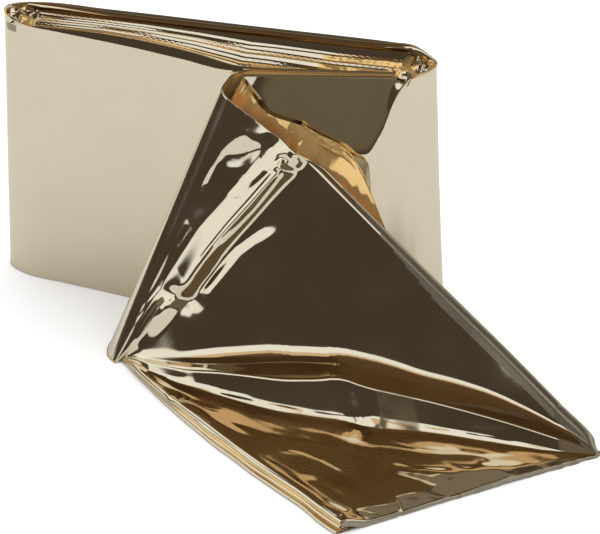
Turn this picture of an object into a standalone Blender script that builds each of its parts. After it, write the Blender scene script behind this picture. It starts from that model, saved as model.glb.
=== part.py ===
"""Emergency foil blanket, pleated lengthwise into a flat ribbon and folded up into a standing pack.

The ribbon stands on its lower edge. Its last turn wraps round a back-and-forth stack of panels,
comes off the front of the pack, turns back on itself in an open box-like fold, is creased once
straight across, and lies down on the surface below a stepped diagonal valley, up to its free end.
The blanket is one sheet, so it is one closed solid: a row of cross-sections along the ribbon,
joined by strips of triangles. Where the ribbon's two plies part at the top, a slot runs between
them. All sizes are in millimetres and are turned into metres when the mesh is made.
+Z is up, the back of the pack faces +Y and its panels run along X.
"""

import math

import bpy
import numpy as np

MM = 0.001

# Driving dimensions
RIBBON_WIDTH = 90.0
STRIP_LENGTH = 133.0  # from the free end to the straight crease
PLY = 1.0  # one parted ply of the ribbon, itself many films thick
PRESSED = 2.6  # the two plies lying together
PANEL_END = 1.4  # thickness of an inner panel where it turns
LOOSE_DROP = 2.0  # how far the loose turn's upper edge sits below the pack's

# The free strip's underside: where its free end starts, and which way its end, its length and its crease run
FREE_LOW = np.array((0.0, -0.4, 0.0))
END_BEARING, RUN_BEARING = math.radians(48.7), math.radians(138.2)
CREASE_RISE = np.array((52.6, 18.5, 70.2))
# Cross-sections along the strip, as shares of its length: pressed together first, then parted
PRESSED_STEPS = (0, 0.04, 0.09, 0.15, 0.21, 0.27, 0.33, 0.39, 0.45, 0.5, 0.56, 0.62, 0.67)
PARTED_STEPS = (0.72, 0.76, 0.8, 0.84, 0.89, 0.945, 1.0)

# Across the diagonal valley the sheet leaves the surface at the foot, climbs a steep step over the knee
# to the crest, runs back along a near-level shelf and turns up the slope. Sizes in mm where it is fullest.
VALLEY = (
    # place from the free end to the crease, foot setback, knee setback and height,
    # crest setback and height, back setback and height
    (0.00, -6.5, -4.9, 1.7, -2.6, 8.0, 10.0, 11.8),
    (0.19, -6.9, -4.4, 2.0, -2.9, 8.4, 9.6, 11.9),
    (0.34, -7.7, -5.2, 2.5, -3.4, 9.1, 6.0, 11.6),
    (0.455, -10.8, -8.3, 2.7, -5.8, 10.4, 4.3, 13.0),
    (0.55, -10.9, -9.0, 1.8, -6.2, 10.2, 3.7, 12.9),
    (0.63, -12.4, -10.6, 1.4, -8.2, 8.7, 3.1, 11.7),
    (0.77, -12.7, -10.9, 1.0, -8.9, 7.7, -0.5, 10.0),
    (1.00, -14.1, -12.2, 0.8, -10.7, 6.7, -2.2, 9.0),
)
VALLEY_POWER = 0.75  # how quickly the valley fills from its two ends
BEND_BACK = 4.0  # the shelf turns up into the slope over this far on each side of the back
EDGE_PUFF = 2.4  # extra thickness of the many folded edges along the strip's lower edge
EDGE_PUFF_WIDTH = 0.09  # widths and places below are shares of the strip's length or width
LOWER_EDGE_OUT = np.array((-0.66, -0.75, 0.0))
EDGE_BOW, CORNER_SPREAD = 4.2, 2.2  # the folded edges fan out beyond the straight line
CORNER_REACH = 0.12
NORMAL_CHORD = 0.06  # the strip's normals are taken over this far on each side
CREASE_REACH = 0.12  # near the crease's foot the sheet turns from lying to standing
FOOT_NORMAL = np.array((-0.35, -0.94, 0.0))
RIDGE_RISE = 1.6  # rounded ridge along the straight crease
RIDGE_WIDTH = 0.06
RIDGE_FADE = 8.0  # how quickly the ridge grows in from the crease's two ends

# How far the back ply's edge stands behind and above the front ply's, along the strip
POCKET = (
    # share of strip, setback, rise
    (0.72, 0.0, 0.0),
    (0.76, 11.0, 5.0),
    (0.80, 16.0, 8.0),
    (0.84, 17.6, 8.8),
    (0.89, 15.1, 7.5),
    (0.945, 12.0, 6.0),
    (1.0, 9.8, 4.9),
)
PARTING_POWER = 1.2  # the plies part slowly above the slot's floor
BEHIND = np.array((-0.28, 0.96, 0.0))
UP = np.array((0.0, 0.0, 1.0))

# The open fold between the crease and the pack: each row is one cross-section
FOLD = (
    # face top, face foot, back top, back foot
    ((-59.1, 108.0, 77.3), (-101.4, 86.6), (-61.1, 114.8, 80.1), (-100.6, 89.2)),
    ((-72.2, 111.4, 84.2), (-103.0, 87.3), (-68.3, 119.5, 86.0), (-101.8, 90.1)),
    ((-74.4, 113.4, 85.4), (-105.4, 90.2), (-69.2, 120.2, 86.6), (-103.1, 92.0)),
    ((-74.3, 118.0, 86.9), (-107.4, 98.5), (-69.7, 120.7, 86.9), (-104.9, 98.7)),
    ((-73.2, 121.5, 87.7), (-106.7, 107.4), (-69.6, 121.0, 87.2), (-104.2, 106.4)),
    ((-70.9, 123.2, 88.0), (-103.5, 113.6), (-68.9, 121.2, 87.6), (-101.8, 111.4)),
)

# The loose turn in front of the pack, from the open fold to the pack's end
TURN_START_TOP, TURN_START_FOOT = (-69.7, 120.8), (-97.0, 114.0)
TURN_END = (-22.0, 132.6)
TURN_STEPS = (0.1, 0.3, 0.52, 0.76, 1.0)
TURN_OPEN_TO = 0.6
TURN_THICK_START, TURN_THICK_END = 4.5, 1.8
FOOT_THICK = 2.4

# Outer outline of the turn that wraps the pack, seen from above
WRAP = (
    # x, y, thickness, drop of the upper edge
    (-18.6, 134.0, 1.7, 1.8),
    (-15.6, 138.0, 1.7, 1.6),
    (-13.9, 144.6, 1.7, 1.2),
    (-16.6, 150.0, 1.7, 0.6),
    (-22.0, 153.8, 1.8, 0.0),
    (-30.0, 155.2, 2.4, 0.0),
    (-75.0, 155.0, 3.0, 0.0),
    (-125.0, 154.9, 2.8, 0.0),
    (-147.0, 154.6, 2.0, 0.0),
    (-153.6, 152.6, 1.6, 0.2),
    (-156.9, 147.8, 1.6, 0.2),
    (-157.0, 142.6, 1.6, 0.6),
    (-154.0, 140.2, 1.6, 1.2),
    (-149.0, 139.5, 2.0, 1.8),
    (-136.0, 137.1, 5.0, 2.0),
    (-124.0, 134.9, 8.0, 2.0),
    (-110.0, 132.2, 9.2, 2.0),
    (-92.0, 127.8, 9.2, 2.0),
    (-74.0, 123.7, 8.8, 2.0),
    (-66.0, 126.8, 5.4, 2.4),
    (-56.0, 128.8, 3.0, 2.8),
    (-45.0, 131.2, 1.8, 3.0),
    (-36.0, 133.4, 1.6, 3.0),
    (-28.0, 135.4, 1.4, 3.0),
)
NOSE_X, NOSE_REACH, NOSE_SPREAD = -14.0, 9.0, 3.0  # the end nearest the free strip splays at its foot

# Space inside the wrap, seen from above, and the four panels that share it
INSIDE = (
    # x, front wall y, back wall y
    (-149.0, 142.2, 152.0),
    (-124.0, 143.4, 151.4),
    (-110.0, 141.9, 151.3),
    (-92.0, 137.5, 151.3),
    (-74.0, 133.0, 151.4),
    (-56.0, 132.3, 151.8),
    (-40.0, 134.4, 152.0),
    (-24.0, 137.3, 152.2),
)
PANELS = (
    # share of the space at the front face, at the back face, drop of the upper edge, runs towards
    (0.05, 0.33, 2.8, -1),
    (0.40, 0.55, 1.4, 1),
    (0.62, 0.76, 2.2, -1),
    (0.83, 0.95, 1.0, 1),
)
PANEL_STOPS = (-149.0, -136.0, -110.0, -74.0, -45.0, -26.0)
PANEL_TAPER = 16.0  # distance over which a panel thins towards its turns
TURN_PIECES = 4

FOIL_COLOUR = (0.80, 0.69, 0.50, 1.0)
FLOOR_LEVEL = 10  # the level, counted from the foot, at which the slot starts
TOP_LEVEL = 20
HIGHEST_FLOOR = 0.5
BELOW_VALLEY = (0.0, 0.08, 0.2, 0.48)  # the levels below the valley's foot, as shares of the way up to it
BEND_COUNT = FLOOR_LEVEL - len(BELOW_VALLEY)
BEND_ROUNDS = 3  # a bend's depth depends on its place, so it is worked out this many times over
LEAST_STEP = 0.008  # neighbouring levels stay at least this share of the width apart
TINY = 1e-6  # mm, so that bends that meet at the valley's ends keep a direction
PLAIN_FLOOR = FLOOR_LEVEL / TOP_LEVEL  # share of the width at that level where the levels are even
SHARP_FROM = math.radians(35)
FOLD_FLOORS = (0.16, 0.12, 0.1, 0.1, 0.1, 0.1)  # the slot's floor along the open fold
TURN_FLOOR = 0.1
VALLEY_CLEARANCE = 0.2  # the slot's floor keeps this far above the valley


def bearing(angle):
    return np.array((math.cos(angle), math.sin(angle), 0.0))


def blend(a, b, share):
    return np.asarray(a, float) + (np.asarray(b, float) - np.asarray(a, float)) * share


def unit(vector):
    return vector / np.linalg.norm(vector)


def bump(value, centre, width):
    return math.exp(-(((value - centre) / width) ** 2))


def level_shares(floor):
    """Shares of the ribbon's width at each level, with the slot's floor at the given share."""
    below = np.linspace(0.0, floor, FLOOR_LEVEL + 1)
    above = np.linspace(floor, 1.0, TOP_LEVEL - FLOOR_LEVEL + 1)
    return np.concatenate((below, above[1:]))


FREE_HIGH = FREE_LOW + RIBBON_WIDTH * bearing(END_BEARING)
CREASE_LOW = FREE_LOW + STRIP_LENGTH * bearing(RUN_BEARING)
CREASE_HIGH = CREASE_LOW + RIBBON_WIDTH * unit(CREASE_RISE)
VALLEY_RUN = unit(CREASE_LOW - FREE_HIGH)
VALLEY_BACK = np.cross(VALLEY_RUN, UP)  # level, towards the pack
UPRIGHT = CREASE_HIGH - (FREE_HIGH + CREASE_LOW) / 2  # from the valley's middle to the crease's top
LYING = (FREE_HIGH + CREASE_LOW) / 2 - FREE_LOW


class Section:
    """One cross-section: its face and back curves from foot to top, and whether a slot parts them."""

    def __init__(self, face, back, parted):
        self.face = np.array(face)
        self.back = np.array(back)
        self.parted = parted
        across = self.back - self.face
        across /= np.linalg.norm(across, axis=1)[:, None]
        self.face_inside = self.face + across * PLY
        self.back_inside = self.back - across * PLY
        if not parted:
            self.face_inside = blend(self.face, self.back, 1 / 3)
            self.back_inside = blend(self.face, self.back, 2 / 3)


def fold_depth(along, across):
    """Signed place beside the diagonal valley: -1 at the free lower corner, 1 at the crease's top."""
    return along + across - 1


def valley_bends(place):
    """Depth, setback and height of each bend across the valley, from the lying corner to the upright one."""
    full = max(0.0, 4 * place * (1 - place)) ** VALLEY_POWER
    places, *columns = zip(*VALLEY)
    foot_back, *sizes = [full * np.interp(place, places, column) for column in columns]
    foot, (knee, crest, back) = np.array((foot_back, 0.0)), np.reshape(sizes, (3, 2))
    lying, top = np.array((-LYING @ VALLEY_BACK, 0.0)), np.array((UPRIGHT @ VALLEY_BACK, UPRIGHT[2]))
    before = back + unit(crest - back + (0.0, -TINY)) * BEND_BACK * full
    after = back + unit(top - back) * BEND_BACK * full
    corners = np.array((foot, knee, crest, before, (before + 2 * back + after) / 4, after))
    path = np.concatenate(((0.0,), np.cumsum(np.linalg.norm(np.diff(corners, axis=0), axis=1) + TINY)))
    first, last = -foot_back / lying[0], 1 - np.linalg.norm(top - after) / np.linalg.norm(top)
    depths = blend(first, max(last, first), path / path[-1])
    return np.column_stack(((-1.0, *depths, 1.0), np.vstack((lying, corners, top))))


def strip_base(along, across):
    """Underside of the free strip; along runs from the free end, across from the lower edge."""
    place, depth = (along - across + 1) / 2, fold_depth(along, across)
    depths, setbacks, heights = valley_bends(place).T
    setback, height = np.interp(depth, depths, setbacks), np.interp(depth, depths, heights)
    slide = (UPRIGHT if depth > 0 else LYING) @ VALLEY_RUN * depth
    fan = EDGE_BOW * 4 * along * (1 - along) + CORNER_SPREAD * bump(along, 0.0, CORNER_REACH)
    return (
        FREE_HIGH
        + (CREASE_LOW - FREE_HIGH) * place
        + VALLEY_RUN * slide
        + VALLEY_BACK * setback
        + UP * height
        + LOWER_EDGE_OUT * fan * max(0.0, 1 - across) ** 3
    )


def strip_normal(along, across):
    """Unit normal of the strip's upper face, from two chords of the underside; level at the crease's foot."""
    step = NORMAL_CHORD
    a = strip_base(along + step, across) - strip_base(along - step, across)
    b = strip_base(along, across + step) - strip_base(along, across - step)
    level = max(0.0, 1 - (1 - along) / CREASE_REACH) * max(0.0, 1 - across / CREASE_REACH)
    return unit(unit(np.cross(b, a)) * (1 - level) + FOOT_NORMAL * level)


def strip_thickness(along, across):
    middle = max(0.0, 4 * along * (1 - along))
    puff = EDGE_PUFF * bump(across, 0.0, EDGE_PUFF_WIDTH) * middle**0.5
    ridge = RIDGE_RISE * bump(along, 1.0, RIDGE_WIDTH) * min(1.0, across * (1 - across) * RIDGE_FADE)
    return PRESSED + puff + ridge


def strip_levels(along, floor):
    """Shares of the width at each level: up to the valley, along its bends, and on from the slot's floor."""
    bends = np.zeros(BEND_COUNT)
    for _ in range(BEND_ROUNDS):
        bends = np.array([valley_bends(along - depth / 2)[k + 1, 0] for k, depth in enumerate(bends)])
    bends = np.clip(1 - along + bends, 0.0, 1.0)
    floor = max(floor, blend(bends[-1], 1.0, 1 / (TOP_LEVEL - FLOOR_LEVEL + 1)))
    above = np.linspace(floor, 1.0, TOP_LEVEL - FLOOR_LEVEL + 1)
    shares = np.concatenate((bends[0] * np.array(BELOW_VALLEY), bends, above))
    least = LEAST_STEP * np.arange(TOP_LEVEL + 1)
    shares = np.maximum.accumulate(np.maximum(shares - least, 0.0)) + least
    return np.minimum(shares, 1.0 - least[::-1])


def strip_section(along):
    shares, setbacks, rises = zip(*POCKET)
    opening = BEHIND * np.interp(along, shares, setbacks) + UP * np.interp(along, shares, rises)
    parted = along in PARTED_STEPS
    floor = min(HIGHEST_FLOOR, 1 - along + VALLEY_CLEARANCE)
    face, back = [], []
    for across in strip_levels(along, floor):
        base = strip_base(along, across)
        parting = max(0.0, across - floor) / (1 - floor) if parted else 0.0
        face.append(base + strip_normal(along, across) * strip_thickness(along, across))
        back.append(base + opening * parting**PARTING_POWER)
    return Section(face, back, parted)


def fold_section(floor, face_top, face_foot, back_top, back_foot):
    shares = level_shares(floor)
    face = [blend((*face_foot, 0.0), face_top, share) for share in shares]
    back = [blend((*back_foot, 0.0), back_top, share) for share in shares]
    return Section(face, back, parted=True)


def turn_section(share):
    """A cross-section of the loose turn: its back curve is the side seen from the front."""
    top, foot = blend(TURN_START_TOP, TURN_END, share), blend(TURN_START_FOOT, TURN_END, share)
    run = unit(np.subtract(TURN_END, TURN_START_TOP))
    inward = np.array((-run[1], run[0]))
    thick_top = blend(TURN_THICK_START, TURN_THICK_END, share)
    thick_foot = blend(FOOT_THICK, TURN_THICK_END, share)
    shares = level_shares(blend(TURN_FLOOR, PLAIN_FLOOR, share))
    back = [np.array((*blend(foot, top, s), s * (RIBBON_WIDTH - LOOSE_DROP))) for s in shares]
    face = [p + np.array((*inward, 0.0)) * blend(thick_foot, thick_top, s) for p, s in zip(back, shares)]
    return Section(face, back, share <= TURN_OPEN_TO)


def left_normals(points):
    """Left-hand unit normals of a route seen from above."""
    runs = np.gradient(points, axis=0)
    runs /= np.linalg.norm(runs, axis=1)[:, None]
    return np.stack((-runs[:, 1], runs[:, 0]), axis=1)


def wrap_route():
    """Middle line of the wrapping turn, from its outer outline."""
    rows = np.array(WRAP)
    outline = rows[:, :2]
    middle = outline + left_normals(outline) * rows[:, 2:3] / 2
    return [(*xy, row[2], row[3]) for xy, row in zip(middle, rows)]


def panel_row(low, high, drop, x):
    xs, fronts, backs = zip(*INSIDE)
    front, back = np.interp(x, xs, fronts), np.interp(x, xs, backs)
    to_end = min(x - PANEL_STOPS[0], PANEL_STOPS[-1] - x)
    taper = min(1.0, max(0.0, to_end / PANEL_TAPER))
    full = (high - low) * (back - front)
    thickness = min(full, PANEL_END + (full - PANEL_END) * taper)
    return (x, front + (low + high) / 2 * (back - front), thickness, drop)


def turn_rows(start, end, side):
    """The half-turn that carries one panel into the next, bulging to the given side of X."""
    rows = []
    centre_y, radius = (start[1] + end[1]) / 2, abs(end[1] - start[1]) / 2
    for piece in range(1, TURN_PIECES):
        angle = math.pi * piece / TURN_PIECES
        rows.append((
            blend(start[0], end[0], piece / TURN_PIECES) + side * radius * math.sin(angle),
            centre_y - radius * math.cos(angle),
            blend(start[2], end[2], piece / TURN_PIECES),
            blend(start[3], end[3], piece / TURN_PIECES),
        ))
    return rows


def pack_route():
    """(x, y, thickness, drop) along the wrap and then back and forth through the inner panels."""
    rows = wrap_route()
    for low, high, drop, direction in PANELS:
        stops = PANEL_STOPS[::direction]
        panel = [panel_row(low, high, drop, x) for x in stops]
        rows += turn_rows(rows[-1], panel[0], -direction) + panel
    return rows


def pack_sections():
    rows = np.array(pack_route())
    sections = []
    for (x, y, thickness, drop), left in zip(rows, left_normals(rows[:, :2])):
        splay = NOSE_SPREAD * bump(x, NOSE_X, NOSE_REACH)
        face, back = [], []
        for share in level_shares(PLAIN_FLOOR):
            middle = np.array((x + splay * (1 - share), y, share * (RIBBON_WIDTH - drop)))
            half = np.array((*left, 0.0)) * thickness / 2
            face.append(middle + half)
            back.append(middle - half)
        sections.append(Section(face, back, parted=False))
    return sections


def ribbon_sections():
    sections = [strip_section(along) for along in PRESSED_STEPS + PARTED_STEPS]
    sections += [fold_section(floor, *row) for floor, row in zip(FOLD_FLOORS, FOLD)]
    sections += [turn_section(share) for share in TURN_STEPS]
    return sections + pack_sections()


class RibbonMesh:
    """Vertices and triangles of the ribbon; every quad is cut along the same diagonal."""

    def __init__(self, sections):
        self.points = []
        self.triangles = []
        self.sections = sections
        self.rings = [self.add_ring(section) for section in sections]
        for i in range(len(sections) - 1):
            self.join(i)
        self.cap(0, flip=True)
        self.cap(len(sections) - 1, flip=False)

    def add_ring(self, section):
        ring = {}
        for curve in ("face", "back", "face_inside", "back_inside"):
            for level in range(TOP_LEVEL + 1):
                inside = curve.endswith("inside")
                if inside and not (level == TOP_LEVEL or (section.parted and level >= FLOOR_LEVEL)):
                    continue
                ring[curve, level] = len(self.points)
                self.points.append(getattr(section, curve)[level])
        return ring

    def quad(self, a, b, c, d):
        self.triangles += [(a, b, c), (a, c, d)]

    def strip(self, i, first, second):
        """The quad between two neighbouring points of section i and the same two of the next."""
        here, there = self.rings[i], self.rings[i + 1]
        self.quad(here[first], there[first], there[second], here[second])

    def join(self, i):
        for level in range(TOP_LEVEL):
            self.strip(i, ("face", level + 1), ("face", level))
            self.strip(i, ("back", level), ("back", level + 1))
        self.strip(i, ("face", 0), ("back", 0))
        self.strip(i, ("face_inside", TOP_LEVEL), ("face", TOP_LEVEL))
        self.strip(i, ("back", TOP_LEVEL), ("back_inside", TOP_LEVEL))
        parted = [section.parted for section in self.sections[i : i + 2]]
        if not all(parted):
            self.strip(i, ("back_inside", TOP_LEVEL), ("face_inside", TOP_LEVEL))
            if any(parted):
                self.slot_end(i + parted.index(True), flip=parted[0])
            return
        for level in range(FLOOR_LEVEL, TOP_LEVEL):
            self.strip(i, ("face_inside", level), ("face_inside", level + 1))
            self.strip(i, ("back_inside", level + 1), ("back_inside", level))
        self.strip(i, ("back_inside", FLOOR_LEVEL), ("face_inside", FLOOR_LEVEL))

    def slot_end(self, i, flip):
        ring = self.rings[i]
        for level in range(FLOOR_LEVEL, TOP_LEVEL):
            corners = [
                ring["face_inside", level],
                ring["face_inside", level + 1],
                ring["back_inside", level + 1],
                ring["back_inside", level],
            ]
            self.quad(*(corners[::-1] if flip else corners))

    def cap(self, i, flip):
        ring = self.rings[i]
        for level in range(TOP_LEVEL - 1):
            corners = [
                ring["face", level],
                ring["face", level + 1],
                ring["back", level + 1],
                ring["back", level],
            ]
            self.quad(*(corners[::-1] if flip else corners))
        rim = [
            ring["face", TOP_LEVEL - 1],
            ring["face", TOP_LEVEL],
            ring["face_inside", TOP_LEVEL],
            ring["back_inside", TOP_LEVEL],
            ring["back", TOP_LEVEL],
            ring["back", TOP_LEVEL - 1],
        ]
        for a, b in zip(rim[1:-1], rim[2:]):
            self.triangles.append((rim[0], b, a) if flip else (rim[0], a, b))


def foil_material():
    material = bpy.data.materials.new("metallised_film")
    material.use_nodes = True
    shader = material.node_tree.nodes["Principled BSDF"]
    shader.inputs["Base Color"].default_value = FOIL_COLOUR
    shader.inputs["Metallic"].default_value = 1.0
    shader.inputs["Roughness"].default_value = 0.12
    return material


def centred(points):
    """The points moved so that the origin lies under the middle of their box, at its foot."""
    low, high = points.min(axis=0), points.max(axis=0)
    return points - np.array(((low[0] + high[0]) / 2, (low[1] + high[1]) / 2, low[2]))


def make_blanket():
    ribbon = RibbonMesh(ribbon_sections())
    points = centred(np.array(ribbon.points)) * MM
    mesh = bpy.data.meshes.new("foil_blanket")
    mesh.from_pydata(points.tolist(), [], ribbon.triangles)
    mesh.shade_smooth()
    mesh.set_sharp_from_angle(angle=SHARP_FROM)
    mesh.materials.append(foil_material())
    blanket = bpy.data.objects.new("foil_blanket", mesh)
    bpy.context.scene.collection.objects.link(blanket)


def clear_scene():
    for obj in list(bpy.data.objects):
        bpy.data.objects.remove(obj)


clear_scene()
make_blanket()
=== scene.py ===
"""Looks of the emergency foil blanket: mirror-like metallised film, champagne outside and gold inside.

The blanket is one sheet pleated into a ribbon. Two of its plies run the whole way and are seen: the face
ply on top of the free strip and round the open fold, and the back ply under the strip, inside the pocket,
along the loose turn and round the pack. Between them lie the edges of the other plies. Each is a thin closed
shell, worked out in the ribbon's own frame in millimetres, where +Z is up and the pack's panels run along X.
"""

import math

import bpy
import numpy as np
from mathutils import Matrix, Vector


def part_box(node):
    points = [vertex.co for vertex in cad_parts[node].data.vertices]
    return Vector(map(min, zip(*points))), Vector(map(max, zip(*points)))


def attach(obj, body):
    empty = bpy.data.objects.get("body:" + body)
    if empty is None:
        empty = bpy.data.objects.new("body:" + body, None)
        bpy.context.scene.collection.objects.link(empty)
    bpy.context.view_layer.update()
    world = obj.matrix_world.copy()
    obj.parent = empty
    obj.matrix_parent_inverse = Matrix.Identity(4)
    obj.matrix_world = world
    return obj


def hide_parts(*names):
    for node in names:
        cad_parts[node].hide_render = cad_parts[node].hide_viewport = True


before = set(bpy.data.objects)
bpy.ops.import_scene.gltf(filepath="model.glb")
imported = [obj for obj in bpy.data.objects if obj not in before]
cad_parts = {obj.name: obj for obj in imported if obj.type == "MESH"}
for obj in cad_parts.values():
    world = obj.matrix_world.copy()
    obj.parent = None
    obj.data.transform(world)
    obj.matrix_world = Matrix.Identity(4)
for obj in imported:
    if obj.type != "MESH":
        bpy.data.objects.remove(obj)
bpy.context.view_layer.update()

MM = 0.001
NODE = "foil_blanket"

# The ribbon, as in the model
RIBBON_WIDTH = 90.0
STRIP_LENGTH = 133.0
RIBBON_LOW = np.array((-156.82, -2.36, 0.0))  # lowest corner of the ribbon's box in its own frame
FREE_LOW = np.array((0.0, -0.4, 0.0))
END_BEARING, RUN_BEARING = math.radians(48.7), math.radians(138.2)
CREASE_RISE = np.array((52.6, 18.5, 70.2))
UP = np.array((0.0, 0.0, 1.0))

FILM = 0.35  # thickness of one shown ply
STRIP_TOP = 2.2  # height of the strip's upper face above the floor

SILVER, GOLD, SHADED_EDGE = 0, 1, 2  # places in a piece's list of materials; the third is the film painted darker, as painted shade on edges
TINY, FAR = 1e-9, 1e9


# ---- small helpers
def bearing(angle):
    return np.array((math.cos(angle), math.sin(angle), 0.0))


def unit(vectors):
    return vectors / np.maximum(np.linalg.norm(vectors, axis=-1, keepdims=True), TINY)


def mix(a, b, share):
    return np.asarray(a) + (np.asarray(b) - np.asarray(a)) * share


def points_of(*coordinates):
    """Points from their coordinates, each an array or one number for all of them."""
    return np.stack(np.broadcast_arrays(*coordinates), axis=-1)


def smooth(value):
    """0 up to 0 and 1 from 1, with an eased climb between."""
    value = np.clip(value, 0.0, 1.0)
    return value * value * (3 - 2 * value)


def bump(value, centre, width):
    """1 at the centre, falling away to both sides of it."""
    return np.exp(-(((value - centre) / width) ** 2))


def ramp(value, start, soft):
    """0 below start, then rising one for one; the corner between is rounded over about soft."""
    t = np.clip((value - start) / soft, -30, 30)
    return soft * np.logaddexp(0.0, t) + np.maximum((value - start) - soft * 30, 0.0)


def table_column(table, column, at):
    """A column of a table of rows, read at places given in the first column's units."""
    return np.interp(at, *np.transpose(table)[[0, column]])


def smooth_column(table, column, at):
    """As table_column, with the corners rounded over."""
    return sum(table_column(table, column, at + shift) for shift in (-0.03, -0.015, 0.0, 0.015, 0.03)) / 5


# ---- the free strip's shape
FREE_HIGH = FREE_LOW + RIBBON_WIDTH * bearing(END_BEARING)
CREASE_LOW = FREE_LOW + STRIP_LENGTH * bearing(RUN_BEARING)
CREASE_HIGH = CREASE_LOW + RIBBON_WIDTH * unit(CREASE_RISE)

# The valley runs along the diagonal, from the free end's far corner to the crease's foot
DIAGONAL = CREASE_LOW - FREE_HIGH
VALLEY_RUN = unit(DIAGONAL)
VALLEY_BACK = np.array((VALLEY_RUN[1], -VALLEY_RUN[0], 0.0))  # level, away from the free end's near corner
MIDDLE = (FREE_HIGH + CREASE_LOW) / 2
UPRIGHT = CREASE_HIGH - MIDDLE
LYING = MIDDLE - FREE_LOW
LYING_BACK, UPRIGHT_BACK = LYING @ VALLEY_BACK, UPRIGHT @ VALLEY_BACK

# The folded edges along the lower edge puff up and fan out beyond the straight line
EDGE_PUFF, EDGE_PUFF_WIDTH = 1.9, 0.06
LOWER_EDGE_OUT = np.array((-0.66, -0.75, 0.0))
EDGE_BOW, CORNER_SPREAD, CORNER_REACH = 4.2, 2.2, 0.12

# Across the valley the sheet goes from its foot up a slope to a knee, up a steep step, over a crest, along a
# near-level shelf to its back and up the triangle. Setbacks and heights of these bends in mm where the valley
# is fullest, by place along it; the end rows hold beyond them too.
VALLEY = (
    # place, foot setback, knee setback, knee height, crest setback, crest height, back setback, back height
    (0.05, -6.5, -4.9, 1.7, -2.6, 8.0, 10.0, 11.8),
    (0.19, -6.9, -4.1, 2.4, -2.6, 8.4, 9.6, 11.9),
    (0.34, -7.7, -5.2, 2.5, -3.4, 9.1, 6.0, 11.6),
    (0.455, -11.4, -8.7, 2.9, -6.1, 10.6, 4.1, 13.3),
    (0.51, -9.7, -7.6, 1.9, -4.6, 11.4, 3.8, 13.7),
    (0.55, -10.9, -9.0, 1.7, -6.3, 10.1, 3.6, 12.8),
    (0.63, -12.7, -10.5, 2.0, -7.7, 8.5, 3.1, 11.6),
    (0.77, -12.9, -10.1, 3.4, -8.2, 7.7, -0.5, 10.0),
    (0.84, -14.2, -11.2, 3.8, -10.0, 6.7, -2.2, 9.0),
)
VALLEY_POWER = 0.75
FOOT_BEND, KNEE_BEND = 0.9, 0.8  # half-lengths of the bends
BENDS = (
    # place, half-lengths of the bends at the crest and back
    (0.00, 0.6, 4.2),
    (0.30, 0.5, 3.8),
    (0.44, 0.5, 3.6),
    (0.52, 0.6, 3.6),
    (0.80, 0.7, 4.0),
    (1.00, 0.8, 4.4),
)
PLACE_BLUR = 0.018  # the table is averaged over this much of the valley's length to each side
BEND_SHARE, BACK_SHARE = 0.5, 0.8  # most of a stretch that a bend at its end, or the back's bend, takes up
FOOT_SHARE = 0.8  # most of the slope above the foot that a lift uses up
SETTLE = 9.0  # distance from the valley over which a lifted sheet comes back to even spacing

# The lying part sags towards the valley's foot, less of it towards the crease
LYING_SINK, SINK_REACH = 1.5, 22.0
SINK_FADE, SINK_FADE_FROM, SINK_FADE_OVER = 0.6, 0.6, 0.25


def valley_fullness(place):
    return np.clip(4 * place * (1 - place), 0.0, 1.0) ** VALLEY_POWER


def foot_depth(place):
    """Depth across the strip at which the valley's foot lies."""
    return table_column(VALLEY, 1, place) * valley_fullness(place) / LYING_BACK


def section_stretches(corners):
    """Directions and lengths of the straight stretches from corner to corner."""
    steps = [b - a for a, b in zip(corners, corners[1:])]
    return [unit(step + TINY) for step in steps], [np.linalg.norm(step, axis=-1) for step in steps]


def section_corners(place, full, sag):
    """The foot, knee, crest, back and top of the section across the valley."""
    near = (place - PLACE_BLUR, place, place + PLACE_BLUR)
    columns = [sum(table_column(VALLEY, k, at) for at in near) / 3 * full for k in range(1, 8)]
    foot = points_of(columns[0], -sag)
    bends = [points_of(*columns[k : k + 2]) for k in (1, 3, 5)]
    return [foot, *bends, 0 * foot + (UPRIGHT_BACK, UPRIGHT[2])]


def lifted_corners(corners, ways, foot_slope, lift):
    """The corners moved out to where the lifted stretches meet. Towards the valley's ends, where the slope
    above the foot is too short for that, they simply move up."""
    turns = []
    for a, b in zip(ways, ways[1:]):
        turns.append((a[..., 0] * b[..., 1] - a[..., 1] * b[..., 0]) / (1 + (a * b).sum(axis=-1)))
    used = np.maximum(lift * (turns[0] + np.maximum(turns[1], 0)), TINY)
    clean = np.clip(FOOT_SHARE * foot_slope / used, 0, 1)[..., None]
    moved = []
    for corner, way, turn in zip(corners, ways, [*turns, 0 * lift]):
        square = points_of(-way[..., 1], way[..., 0])
        share = clean if len(moved) < len(turns) else 1.0
        off = (square - way * turn[..., None]) * share + np.array((0.0, 1.0)) * (1 - share)
        moved.append(corner + off * lift[..., None])
    return moved


def settled(distance, slack):
    """A signed distance from the valley with the slack that a lift gives added over a while."""
    return distance + slack * (1 - np.exp(-np.abs(distance) / SETTLE))


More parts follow.
